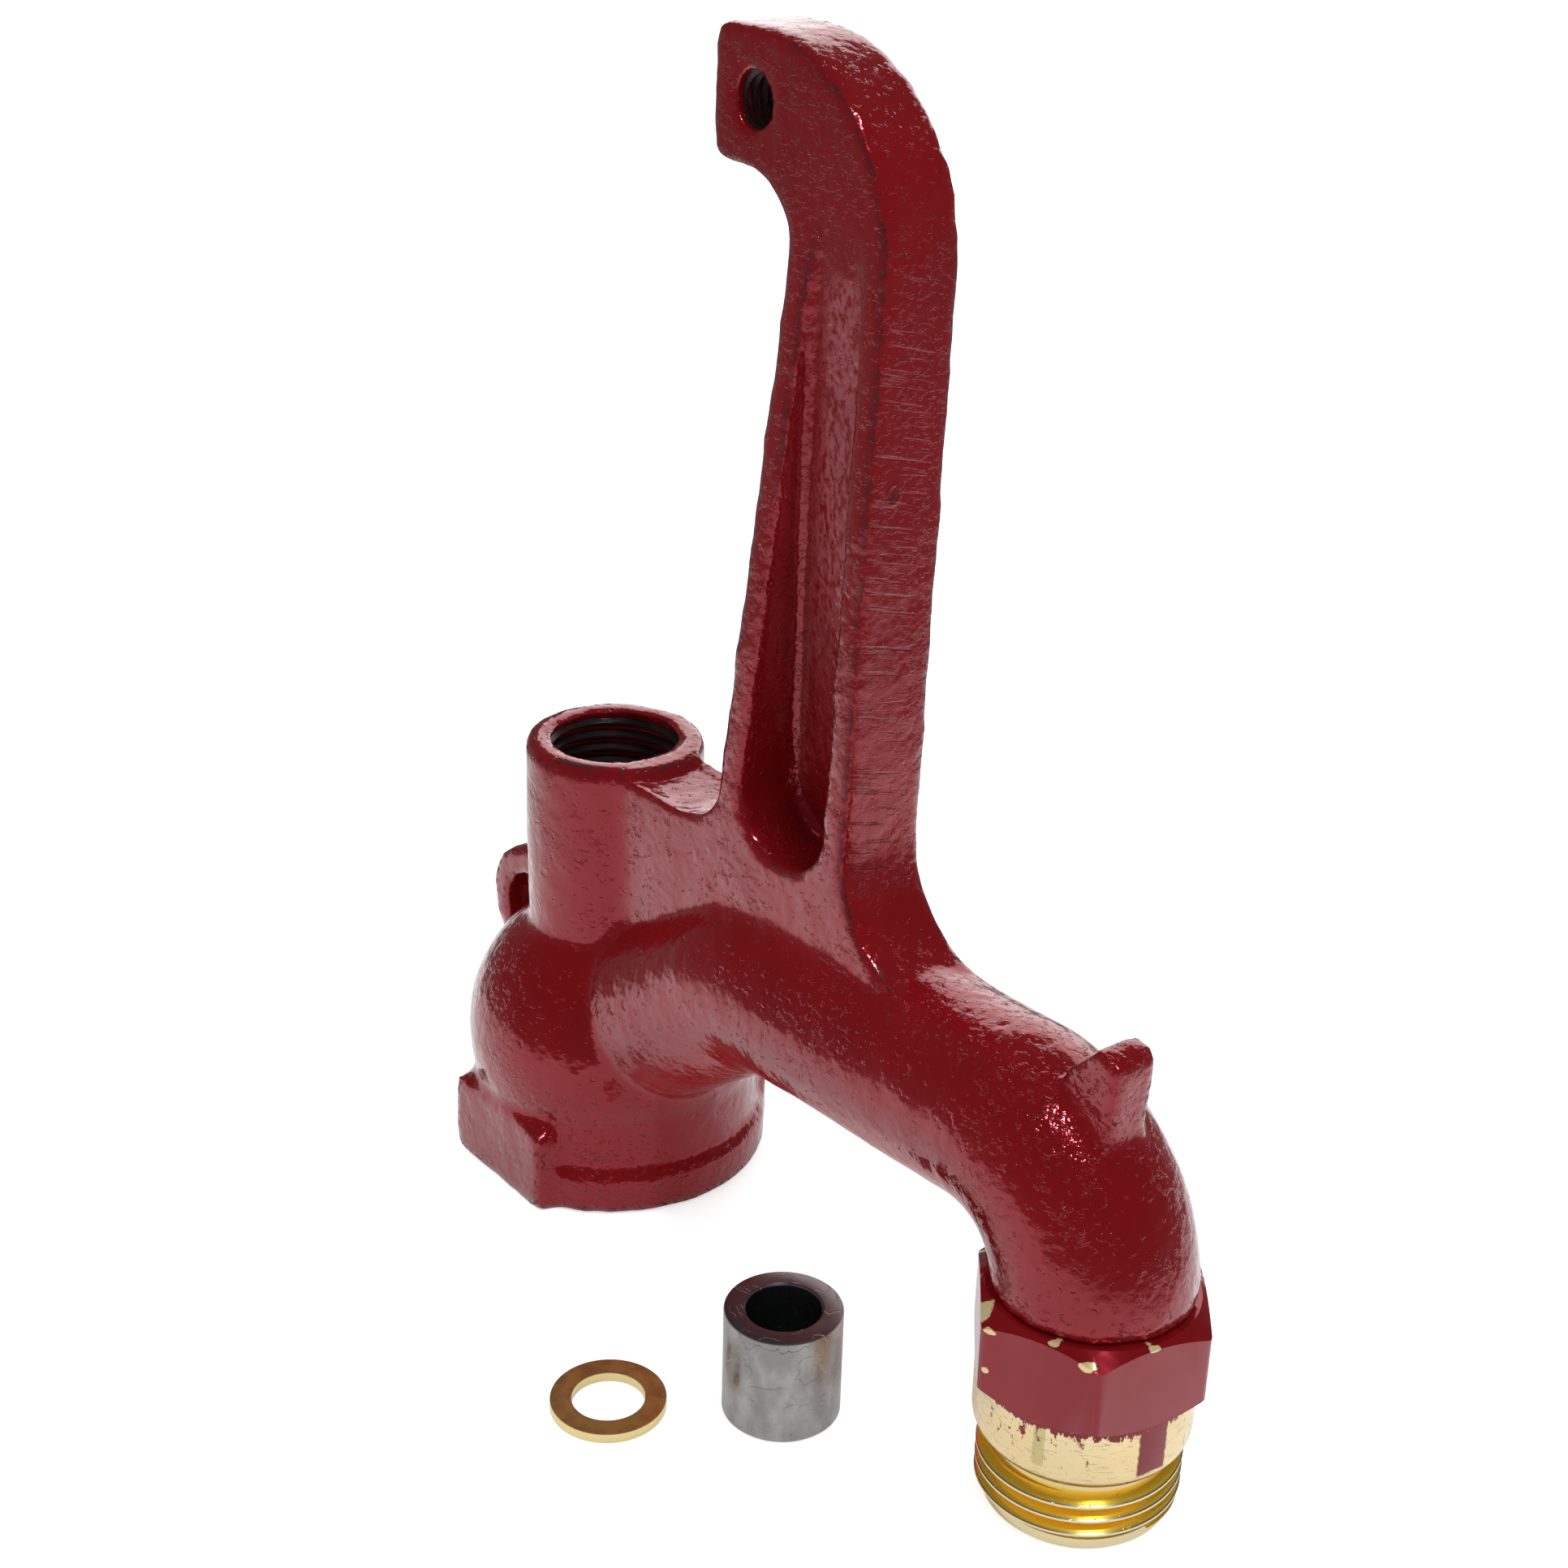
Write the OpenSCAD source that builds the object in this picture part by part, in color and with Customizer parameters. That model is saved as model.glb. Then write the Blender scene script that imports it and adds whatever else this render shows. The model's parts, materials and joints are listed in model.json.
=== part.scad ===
// Yard hydrant head: one iron casting, its brass hose nozzle, and the loose
// packing sleeve and packing washer that go into its stuffing box.
// Millimetres. Z is up along the stuffing box, X runs along the spout,
// and the origin is on the pipe axis in the plane that the head stands on.

/* [Base and globe] */
// Diameter of the bead round the foot of the casting
rim_d = 47.6; // [46:0.2:52]
// Height of that bead
rim_h = 6.8; // [4:0.2:9]
// Diameter of the straight wall above the bead
neck_d = 44.9; // [43.6:0.2:46]
// Diameter of the globe
globe_d = 46.4; // [46.2:0.2:50]
// Height of the globe's centre
globe_z = 21.2; // [18:0.2:26]
// Distance of the near wrench flat from the pipe axis
pad_near = 22.8; // [22:0.1:25]
// Distance of the far wrench flat from the pipe axis
pad_far = 21.4; // [21:0.1:25]
// Width of each wrench flat
pad_w = 24.4; // [16:0.2:30]
// Height of each wrench flat
pad_h = 13.6; // [9:0.2:16]
// Bore of the pipe socket in the foot, at the thread's crests
socket_d = 30.4; // [26:0.1:34]
// Depth of the pipe socket
socket_depth = 16.6; // [10:0.2:17]
// Diameter of the water chamber inside the globe
cavity_d = 34; // [33:0.5:35]
// Height of that chamber's centre above the globe's
cavity_rise = 2.5; // [1.5:0.1:3]

/* [Stuffing box] */
// Outside diameter of the stuffing box
boss_d = 27; // [24:0.2:30]
// Height of its top face
boss_top = 70.4; // [66:0.2:80]
// Radius of the fillet between the globe and the stuffing box
boss_fillet = 3; // [1:0.25:5]
// Bore at the top, at the crests of the packing nut's thread
nut_bore_d = 18.6; // [17:0.1:20]
// Depth of that thread
nut_depth = 9.6; // [8:0.2:16]
// Bore of the packing chamber below the thread
chamber_d = 16.7; // [16.5:0.1:16.9]
// Floor thickness between the packing chamber and the globe
chamber_floor = 3; // [2:0.25:5]
// Hole in that floor for the operating rod
rod_hole_d = 10.8; // [10:0.1:13]

/* [Spout] */
// Outside diameter of the spout
spout_d = 27; // [26:0.2:28]
// Outside diameter of the elbow
elbow_d = 26.2; // [25:0.2:27]
// Bore of the spout
spout_bore_d = 18.6; // [14:0.2:20]
// Distance from the pipe axis to the nozzle axis
reach = 105.8; // [98:0.2:125]
// Height of the spout's axis where it would cross the pipe axis
spout_z = 45.7; // [43:0.1:48]
// Rise of the spout above level, in degrees
spout_slope = 2.23; // [1:0.01:4]
// Angle at which the spout's root leaves the globe, in degrees
root_angle = 33.5; // [31:0.1:36]
// Diameter of the spout's root where it leaves the globe
root_d = 28.8; // [27.4:0.1:29]
// Radius of the bend between root and spout
root_bend = 20; // [16:0.5:28]
// Radius of the fillet between root and globe
root_fillet = 2; // [1:0.25:4]

/* [Lever arm] */
// Thickness of the arm and its gusset
arm_t = 13.6; // [11:0.2:16]
// Thickness of the arm at the top of its head
head_t = 11.4; // [10:0.2:13]
// Height of the top of the hooked head
arm_top = 178.8; // [165:0.2:190]
// Position of the arm's back edge at the foot
arm_back_foot = 61.2; // [59:0.1:66]
// Position of the arm's back edge at the head
arm_back_top = 65.6; // [62:0.1:70]
// Width of the arm at the foot
arm_w_foot = 27.8; // [24:0.2:30]
// Width of the arm below the head
arm_w_top = 18.6; // [15:0.2:20]
// Radius of the round at the back of the head
crown_r = 25.6; // [16:0.2:26]
// How far the head reaches forward of the arm's front edge
hook_reach = 16.8; // [13:0.2:19]
// Height of the head at its nose
hook_h = 17.2; // [15:0.2:22]
// Radius of the fillet under the head
hook_fillet = 9; // [4:0.25:11]
// Radius of the fillet behind the foot
heel_fillet = 16; // [6:0.5:20]
// Radius of the fillet where the gusset meets the arm
gusset_fillet = 6.5; // [3:0.25:8]
// Radius of the fillets beside the gusset, on the spout and the stuffing box
web_fillet = 4.4; // [2:0.2:5]

/* [Arm pocket] */
// Width of the flanges beside the pocket
flange_w = 4.5; // [3:0.1:6]
// Web thickness left at the foot of the pocket
web_t = 2.8; // [2:0.1:5]
// Height at which the pocket has run out to nothing
pocket_top = 158; // [140:0.5:160]
// Height of the foot of the pocket
pocket_foot = 69.8; // [69:0.1:80]

/* [Lever pivot] */
// Distance of the pivot hole from the nose of the head
pivot_in = 8; // [6.5:0.1:10]
// Distance of the pivot hole below the top of the head
pivot_down = 9.3; // [8:0.1:11]
// Bore of the tapped pivot hole, at the thread's crests
pivot_d = 6.4; // [5:0.1:7.4]
// Countersink diameter at its mouth
pivot_sink_d = 7.6; // [7.6:0.1:10]

/* [Lug and ear] */
// Thickness of the stop lug on the elbow
lug_t = 7; // [6:0.2:12]
// Height of the lug above the spout's axis
lug_h = 18.2; // [16.5:0.1:22]
// Width of the lug's top
lug_w = 3.8; // [3:0.2:7]
// How far the lug's foot starts behind the nozzle's axis
lug_back = 5.2; // [3:0.2:8]
// Thickness of the ear behind the stuffing box
ear_t = 8.6; // [6:0.2:12]
// Outside radius of the ear
ear_r = 10.8; // [10:0.2:13]
// Radius of the hole in the ear
ear_hole_r = 6.2; // [6:0.1:7.5]
// Distance of the ear's centre behind the pipe axis
ear_x = 18.4; // [17.6:0.1:20]
// Height of the ear's centre
ear_z = 33.9; // [32:0.1:38]

/* [Hose nozzle] */
// Distance across the flats of the hexagon
hex_af = 28.6; // [27.6:0.1:32]
// Height of the hexagon
hex_h = 12.3; // [8:0.1:15]
// Height of the turned collar under it, with its chamfer
collar_h = 9.3; // [6:0.1:12]
// Outside diameter of the hose thread
hose_d = 26.94; // [26.6:0.02:27.2]
// Length of the hose thread
hose_len = 7.15; // [6:0.05:10]
// Width of the relief groove above the thread
relief_w = 1.7; // [1:0.1:3]
// Diameter of the relief groove
relief_d = 24.6; // [23:0.1:26]
// Diameter of the plain lip below the thread
lip_d = 24.8; // [22:0.1:25.4]
// Height of that lip
lip_h = 1.85; // [1:0.05:3]
// Waterway through the nozzle
waterway_d = 15.6; // [12:0.2:17]
// Diameter of the stub that screws into the spout
stub_d = 19.6; // [19:0.1:20.6]
// Length of the stub
stub_len = 9.4; // [6:0.1:9.6]

/* [Loose pieces] */
// Outside diameter of the packing sleeve
packing_d = 16.3; // [15:0.05:16.4]
// Bore of the packing sleeve
packing_bore_d = 10.3; // [9.6:0.05:11]
// Height of the packing sleeve
packing_h = 16.4; // [12:0.1:20]
// Outside diameter of the packing washer
washer_d = 16; // [15:0.05:16.4]
// Bore of the packing washer
washer_bore_d = 10.1; // [9.6:0.05:11]
// Thickness of the packing washer
washer_t = 1.6; // [1:0.1:2.4]

/* [Hidden] */
$fn = 96;

paint_red = [0.55, 0.06, 0.09];
brass = [0.80, 0.62, 0.30];
graphite = [0.36, 0.36, 0.37];

arc_step = 10;          // largest turn between points of an arc
overcut = 1;            // how far a cutting tool stands past the face it cuts
edge = 0.6;             // small chamfers and broken edges
lap = 0.5;              // how far straight bars run on into a bend
swell = 0.1;            // how much fatter a bend is than the bars that run into it
rim_gap = 0.3;          // straight wall below the elbow's bend
screw_gap = 0.05;       // gap round the nozzle's stub in its socket
fine_edge = 0.2;        // broken edges of the small turned pieces
root_in = 2;            // how far a fillet ring reaches in under the surfaces it joins
pad_round = 2;          // rounds at the upper corners of the wrench flats
nose_round = 2.6;       // round at the top of the arm's nose
chin_round = 2;         // round at the bottom of the arm's nose
pocket_round = 0.44;    // rounds at the pocket's foot, as a share of its width there
pocket_over = 8;        // how far the pocket's outline runs on past its run-out
lug_round = 1.1;        // rounds at the lug's top
lug_front = 0.2;        // where the lug's top starts, past the nozzle's axis
hex_turn = 18.7;        // how far the hexagon is turned about its axis
hex_low = 1.6;          // height of the turned bevel under the hexagon
hex_high = 1.8;         // height of the turned bevel on top of it
collar_bevel = [1.2, 2];    // the collar's bevel, across and along
packing_xy = [69.8, -21];   // where the packing sleeve stands
washer_xy = [55.8, -40.1];  // where the packing washer lies

globe_r = globe_d / 2;
boss_r = boss_d / 2;
spout_r = spout_d / 2;
root_r = root_d / 2;
half_t = arm_t / 2;

// Where the spout's root and its straight run would meet
knee_x = (spout_z - globe_z) / (tan(root_angle) - tan(spout_slope));
knee = [knee_x, spout_axis(knee_x)];
// How far the root's bend reaches back along its legs
bend_cut = root_bend * tan((root_angle - spout_slope) / 2);
bend_start = knee - bend_cut * heading(root_angle);
bend_end = knee + bend_cut * heading(spout_slope);
bend_centre = bend_start - root_bend * heading(root_angle + 90);

// The nozzle stacks up from the floor plane, and the elbow is bent so that
// its end sits on the nozzle
relief_z = lip_h + hose_len;
collar_z = relief_z + relief_w;
hex_z = collar_z + collar_h;
nozzle_top = hex_z + hex_h;
spout_end = nozzle_top + screw_gap;
elbow_z = spout_end + rim_gap;
elbow_r = (spout_axis(reach) - elbow_z) / (tan(spout_slope) + 1 / cos(spout_slope));
elbow_x = reach - elbow_r;
elbow_start = [elbow_x, elbow_z] + elbow_r * heading(spout_slope + 90);

hook_x = arm_front(arm_top - hook_h) - hook_reach;
pivot = [hook_x + pivot_in, arm_top - pivot_down];
cavity_top = globe_z + cavity_rise + cavity_d / 2;
chamber_z = cavity_top + chamber_floor;

function heading(a) = [cos(a), sin(a)];
function unit(v) = v / norm(v);
function cross2(a, b) = a.x * b.y - a.y * b.x;
function spout_axis(x) = spout_z + x * tan(spout_slope);
function share(a, b, t) = a + (b - a) * t;

// The arm's edges lean from the foot to the head
function arm_t_at(z) = (z - boss_top) / (arm_top - crown_r - boss_top);
function arm_back(z) = share(arm_back_foot, arm_back_top, arm_t_at(z));
function arm_front(z) = arm_back(z) - share(arm_w_foot, arm_w_top, arm_t_at(z));

// Points of an arc round c from angle a to angle b
function arc(c, r, a, b) =
    let (n = max(2, ceil(abs(b - a) / arc_step)))
    [for (i = [0:n]) c + r * heading(share(a, b, i / n))];

// The round of radius r at corner b between neighbours a and c
function corner(a, b, c, r) =
    let (u = unit(a - b), w = unit(c - b), half = acos(u * w) / 2,
         middle = b + unit(u + w) * r / sin(half),
         start = b + u * r / tan(half) - middle,
         from = atan2(start.y, start.x),
         turn = sign(cross2(b - a, c - b)) * (180 - 2 * half))
    arc(middle, r, from, from + turn);

// An outline through corners [x, y, radius]
function outline(p) =
    let (n = len(p), at = function (i) [p[(i + n) % n].x, p[(i + n) % n].y])
    [for (i = [0:n - 1]) each p[i].z > 0 ? corner(at(i - 1), at(i), at(i + 1), p[i].z) : [at(i)]];

// Puts an outline drawn in X and Z upright, t thick about the plane y = 0
module plate(points, t) {
    translate([0, t / 2, 0]) rotate([90, 0, 0]) linear_extrude(t) polygon(points);
}

// A round bar between two points of the plane y = 0
module bar(p, q, r1, r2) {
    dir = q - p;
    translate([p.x, 0, p.y])
        rotate([0, 90 - atan2(dir.y, dir.x), 0])
            cylinder(h = norm(dir), r1 = r1, r2 = r2);
}

// A bent bar about c in the plane y = 0, from angle a to angle b
module bent_bar(c, bend, r, a, b) {
    translate([c.x, 0, c.y])
        rotate([90, 0, 0])
            rotate([0, 0, a])
                rotate_extrude(angle = b - a)
                    translate([bend, 0]) circle(r = r);
}

// The fillet ring where a shaft leaves a ball along Z, both about the origin
function ring_profile(ball, shaft, f) =
    let (z = sqrt((ball + f) ^ 2 - (shaft + f) ^ 2), lean = atan2(z, shaft + f))
    concat([[shaft - root_in, z]], arc([shaft + f, z], f, 180, 180 + lean),
           [(ball - root_in) * heading(lean)]);

// The foot and the stuffing box, with the globe between them
module globe_body() {
    neck_r = neck_d / 2;
    rim_r = rim_d / 2;
    boss_h = boss_top - globe_z;
    rotate_extrude()
        polygon([
            [0, 0], [rim_r - edge, 0], [rim_r, edge], [rim_r, rim_h - edge],
            [rim_r - edge, rim_h], [neck_r, rim_h + edge], [neck_r, globe_z], [0, globe_z]]);
    translate([0, 0, globe_z]) {
        sphere(r = globe_r);
        rotate_extrude()
            polygon([[0, 0], [boss_r, 0], [boss_r, boss_h - edge], [boss_r - edge, boss_h], [0, boss_h]]);
        rotate_extrude()
            polygon(ring_profile(globe_r, boss_r, boss_fillet));
    }
}

// Two flats for a wrench, blended into the foot
module wrench_pads() {
    corners = [[-pad_w / 2, 0, 0], [pad_w / 2, 0, 0],
               [pad_w / 2, pad_h, pad_round], [-pad_w / 2, pad_h, pad_round]];
    translate([0, (pad_far - pad_near) / 2, 0])
        plate(outline(corners), pad_near + pad_far);
}

// What the wrench flats cut off the bead, and what the foot's face cuts off
// the globe
module flat_trim() {
    translate([-rim_d / 2, -rim_d / 2, -rim_d]) cube(rim_d);
    for (y = [-pad_near - rim_d, pad_far])
        translate([-rim_d / 2, y, -overcut]) cube([rim_d, rim_d, pad_h + overcut]);
}

// The spout's route as solid bars: from the globe up to the knee, out along
// the spout, round the elbow and down past its end by the length given, with
// the radii at the globe's centre, after the knee and in the elbow
module spout_run(root, run, turn, past) {
    root_end = bend_start + lap * heading(root_angle);
    run_start = bend_end - lap * heading(spout_slope);
    run_end = elbow_start + lap * heading(spout_slope);
    bar([0, globe_z], root_end, root, run);
    bent_bar(bend_centre, root_bend, run + swell, spout_slope + 90, root_angle + 90);
    bar(run_start, run_end, run, turn);
    bent_bar([elbow_x, elbow_z], elbow_r, turn + swell, 0, spout_slope + 90);
    bar([reach, elbow_z + lap], [reach, elbow_z - past], turn, turn);
}

module spout() {
    // The root tapers evenly, so its radius at the globe's centre is larger
    root_len = norm(bend_start - [0, globe_z]);
    centre_r = spout_r + (root_r - spout_r) * root_len / (root_len - globe_r);
    spout_run(centre_r, spout_r, elbow_d / 2, rim_gap);
    translate([0, 0, globe_z])
        rotate([0, 90 - root_angle, 0])
            rotate_extrude() polygon(ring_profile(globe_r, root_r, root_fillet));
}

// Side view of the arm, its hooked head and the gusset, from the heel round
module lever_arm() {
    head_z = arm_top - hook_h;
    heel_x = arm_back(spout_axis(reach / 2) + spout_r);
    crest = sqrt(spout_r ^ 2 - half_t ^ 2) - fine_edge;
    top_line = function (x) spout_axis(x) + crest;
    heel_end = heel_x + heel_fillet + lap;
    plate(outline([
        [0, globe_z + boss_r, 0],
        [knee.x, knee.y, 0],
        [heel_end + spout_r, spout_axis(heel_end + spout_r), 0],
        [heel_end, top_line(heel_end), 0],
        [heel_x, top_line(heel_x), heel_fillet],
        [arm_back(arm_top - crown_r), arm_top - crown_r, 0],
        [arm_back(arm_top - crown_r), arm_top, crown_r - edge],
        [hook_x, arm_top - edge, nose_round],
        [hook_x, head_z, chin_round],
        [arm_front(head_z), head_z, hook_fillet],
        [arm_front(boss_top), boss_top, gusset_fillet],
        [0, boss_top, 0]]), arm_t);
}

// The pocket in the arm's front face: deep at the foot, run out at the top
module arm_pocket() {
    depth = arm_t - web_t;
    tilt = atan(depth / (pocket_top - pocket_foot));
    left = function (z) arm_front(z) + flange_w;
    right = function (z) arm_back(z) - flange_w;
    round_foot = pocket_round * (right(pocket_foot) - left(pocket_foot));
    past_top = pocket_top + pocket_over;
    intersection() {
        plate(outline([
            [left(pocket_foot), pocket_foot, round_foot],
            [right(pocket_foot), pocket_foot, round_foot],
            [right(past_top), past_top, 0],
            [left(past_top), past_top, 0]]), arm_t + 2 * overcut);
        translate([0, -half_t, pocket_top])
            rotate([tilt, 0, 0])
                translate([0, -2 * arm_t, -2 * pocket_top])
                    cube([2 * reach, 2 * arm_t, 2 * pocket_top]);
    }
}

// Fillets on both faces of the gusset against a round of radius r, h long
// along Z, with the gusset standing out along X
module web_fillets(r, h) {
    side = half_t + web_fillet;
    lift = sqrt((r + web_fillet) ^ 2 - side ^ 2);
    lean = atan2(side, lift);
    linear_extrude(h)
        polygon(concat(
            arc([lift, side], web_fillet, 180 + lean, 270),
            arc([lift, -side], web_fillet, 90, 180 - lean)));
}

module gusset_fillets() {
    translate([0, 0, globe_z]) web_fillets(boss_r, boss_top - edge - globe_z);
    start = knee + bend_cut * heading(spout_slope);
    run = arm_back_foot + overcut - start.x;
    translate([start.x, 0, start.y])
        rotate([0, 90 - spout_slope, 0])
            rotate([0, 0, 180])
                web_fillets(spout_r, run);
}

// The stop lug that stands on the elbow
module elbow_lug() {
    back = reach - lug_back;
    axis_z = spout_axis(back);
    front = reach + lug_front;
    plate(outline([
        [back, axis_z + spout_r / 2, 0],
        [reach, axis_z, 0],
        [front + lug_w - overcut, axis_z, 0],
        [front + lug_w, axis_z + lug_h - lug_round, lug_round],
        [front, axis_z + lug_h, lug_round],
        [back, axis_z + spout_r - overcut, 0]]), lug_t);
}

// The ear behind the stuffing box, as a disc that the globe swallows in part
module ear() {
    translate([-ear_x, ear_t / 2, ear_z])
        rotate([90, 0, 0]) cylinder(h = ear_t, r = ear_r);
    plate([[-ear_x, ear_z], [0, ear_z - ear_r], [0, ear_z + ear_r], [-ear_x, ear_z + ear_r]], ear_t);
}

module ear_hole() {
    translate([-ear_x, ear_t / 2 + overcut, ear_z])
        rotate([90, 0, 0]) cylinder(h = ear_t + 2 * overcut, r = ear_hole_r);
}

// Everything that is bored or cored out of the casting
module waterways() {
    bore_r = spout_bore_d / 2;
    translate([0, 0, -overcut]) cylinder(h = socket_depth + overcut, d = socket_d);
    translate([0, 0, globe_z + cavity_rise]) sphere(d = cavity_d);
    cylinder(h = boss_top + overcut, d = rod_hole_d);
    translate([0, 0, chamber_z]) cylinder(h = boss_top, d = chamber_d);
    translate([0, 0, boss_top - nut_depth]) cylinder(h = nut_depth + overcut, d = nut_bore_d);
    spout_run(bore_r, bore_r, bore_r, overcut);
    translate([reach, 0, nozzle_top])
        cylinder(h = stub_len + edge, d = stub_d + 2 * screw_gap);
}

// What the arm's far face loses, so that the head is thinner than the foot
module arm_lean() {
    translate([0, half_t, boss_top])
        rotate([atan((arm_t - head_t) / (arm_top - boss_top)), 0, 0])
            cube([2 * reach, arm_t, 2 * arm_top]);
}

module pivot_hole() {
    translate([pivot.x, 0, pivot.y])
        rotate([90, 0, 0]) {
            translate([0, 0, -half_t - overcut])
                cylinder(h = arm_t + 2 * overcut, d = pivot_d);
            translate([0, 0, half_t - edge])
                cylinder(h = 2 * edge, r1 = pivot_sink_d / 2 - edge, r2 = pivot_sink_d / 2 + edge);
        }
}

module head_casting() {
    color(paint_red)
    difference() {
        union() {
            difference() {
                union() {
                    globe_body();
                    wrench_pads();
                }
                flat_trim();
            }
            difference() {
                ear();
                ear_hole();
            }
            spout();
            gusset_fillets();
            difference() {
                lever_arm();
                arm_pocket();
                arm_lean();
            }
            elbow_lug();
        }
        waterways();
        pivot_hole();
    }
}

// Turned and milled from hexagon bar, screwed into the spout
module hose_nozzle() {
    collar_r = hex_af / 2;
    corner_r = collar_r / cos(30);
    color(brass)
    translate([reach, 0, 0])
    difference() {
        union() {
            rotate_extrude()
                polygon([
                    [0, 0], [lip_d / 2 - edge / 2, 0], [lip_d / 2, edge / 2],
                    [lip_d / 2, lip_h], [hose_d / 2 - fine_edge, lip_h],
                    [hose_d / 2, lip_h + fine_edge], [hose_d / 2, relief_z],
                    [relief_d / 2, relief_z + 2 * fine_edge], [relief_d / 2, collar_z],
                    [collar_r - collar_bevel.x, collar_z],
                    [collar_r, collar_z + collar_bevel.y],
                    [collar_r, hex_z + hex_h / 2], [stub_d / 2, hex_z + hex_h / 2],
                    [stub_d / 2, nozzle_top + stub_len - edge],
                    [stub_d / 2 - edge, nozzle_top + stub_len],
                    [0, nozzle_top + stub_len]]);
            intersection() {
                translate([0, 0, hex_z])
                    rotate([0, 0, hex_turn]) cylinder(h = hex_h, r = corner_r, $fn = 6);
                rotate_extrude()
                    polygon([
                        [0, hex_z], [collar_r, hex_z], [corner_r, hex_z + hex_low],
                        [corner_r, nozzle_top - hex_high], [collar_r - edge, nozzle_top],
                        [0, nozzle_top]]);
            }
        }
        translate([0, 0, -overcut])
            cylinder(h = nozzle_top + stub_len + 2 * overcut, d = waterway_d);
        translate([0, 0, -overcut])
            cylinder(h = 2 * overcut, r1 = waterway_d / 2 + 2 * overcut, r2 = waterway_d / 2);
    }
}

// A plain ring standing at xy with its edges broken by c
module ring(xy, outer, bore, h, c) {
    translate([xy.x, xy.y, 0])
    rotate_extrude()
        polygon([
            [bore / 2, 0], [outer / 2 - c, 0], [outer / 2, c],
            [outer / 2, h - c], [outer / 2 - c, h], [bore / 2, h]]);
}

module packing() {
    color(graphite) ring(packing_xy, packing_d, packing_bore_d, packing_h, 2 * fine_edge);
}

module packing_washer() {
    color(brass) ring(washer_xy, washer_d, washer_bore_d, washer_t, fine_edge);
}

head_casting();
hose_nozzle();
packing();
packing_washer();
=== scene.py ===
# %% [markdown]
# # Yard hydrant head
# A frost-free hydrant stands in a garden with this head on top of its pipe.
# The head is one red iron casting: a foot with a round globe on it, a stuffing
# box for the rod, an arm that carries the lever, and a spout with an elbow.
# A brass nozzle screws into the spout, and a packing sleeve and its washer
# lie beside the head, ready to go into the stuffing box.

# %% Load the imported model
import bpy
import bmesh
import json
import math
import numpy as np
from mathutils import Matrix, Vector, noise


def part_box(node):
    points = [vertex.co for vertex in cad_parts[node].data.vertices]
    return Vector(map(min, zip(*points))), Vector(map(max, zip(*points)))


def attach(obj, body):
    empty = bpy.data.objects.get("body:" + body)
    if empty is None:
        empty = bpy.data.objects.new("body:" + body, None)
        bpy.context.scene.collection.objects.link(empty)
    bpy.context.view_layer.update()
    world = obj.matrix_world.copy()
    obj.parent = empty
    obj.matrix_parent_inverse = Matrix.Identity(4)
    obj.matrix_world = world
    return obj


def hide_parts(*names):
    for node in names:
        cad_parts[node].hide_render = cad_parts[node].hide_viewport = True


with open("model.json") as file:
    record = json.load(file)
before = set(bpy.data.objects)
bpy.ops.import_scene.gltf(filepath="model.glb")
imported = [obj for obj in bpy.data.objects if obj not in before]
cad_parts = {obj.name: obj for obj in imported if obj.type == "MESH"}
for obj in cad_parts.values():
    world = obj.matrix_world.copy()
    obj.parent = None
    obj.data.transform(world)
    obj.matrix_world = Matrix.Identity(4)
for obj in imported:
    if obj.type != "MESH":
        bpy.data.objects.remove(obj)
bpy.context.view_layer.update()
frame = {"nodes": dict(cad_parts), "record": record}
MM = 0.001


def put_in_scene(name, data):
    """A new object with this data, linked into the scene."""
    thing = bpy.data.objects.new(name, data)
    bpy.context.scene.collection.objects.link(thing)
    return thing


# %% [markdown]
# ## Where the parts are
# The pipe axis is the frame's Z axis, and the spout runs along X. The boxes
# and mounts of the imported parts say where the loose parts, the bores and the
# threads are, so that the looks follow the solids. Marks on the skin of the
# casting are given in mm.

# %% Read the places of the parts
head_low, head_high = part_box("head_casting")
nozzle_low, nozzle_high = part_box("hose_nozzle")
sleeve_low, sleeve_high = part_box("packing")
washer_low, washer_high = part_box("packing_washer")

print("casting, in mm:", [round(v / MM) for v in head_high - head_low])
print("nozzle, in mm:", [round(v / MM) for v in nozzle_high - nozzle_low])


def middle(low, high):
    return (low + high) / 2


def mount(name):
    """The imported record's mount of that name: its place and its radius."""
    found = next(m for m in frame["record"]["mounts"] if m["name"] == name)
    return Vector(found["pos_m"]), found["dims"]["r_mm"] * MM


box_mouth, box_r = mount("stuffing_box")
pivot_mouth, pivot_r = mount("lever_pivot")
thread_place, thread_r = mount("hose_thread")
_, waterway_r = mount("water_outlet")
nozzle_x = thread_place.x
print("nozzle axis at x =", round(nozzle_x / MM, 1), "mm")

# %% [markdown]
# ## The camera
# The head is seen from the side and a little from above. The camera stands
# some 33 cm off with a normal lens, and it looks down by about 25 degrees.
# It is placed by a matrix whose columns are its right, its up and its back,
# which says more plainly than three angles where it looks.

# %% Set up the camera
CAMERA_PLACE = (0.27793, -0.19160, 0.21661)
look = Vector((-0.70756, 0.57181, -0.41520))
right = Vector((0.6197, 0.7845, 0.0244))
up = right.cross(look)

camera_data = bpy.data.cameras.new("camera")
camera_data.lens = 55.88
camera_data.sensor_width = 36
camera_data.clip_start = 0.01
camera = put_in_scene("camera", camera_data)
turn = Matrix((right, up, -look)).transposed().to_4x4()
camera.matrix_world = Matrix.Translation(CAMERA_PLACE) @ turn
bpy.context.scene.camera = camera
print("camera", [round(v, 3) for v in camera.location])

# %% [markdown]
# ## Nodes with few words
# Every finish below is a small graph of shader nodes. Wired by hand, each
# node takes four or five lines, so a few helpers keep the graphs short. The
# main one, add, makes a node and fills its sockets, each with a plain value
# or with another node's output. The others are words for sums, noise and
# masks, which run from 0 to 1.

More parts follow.
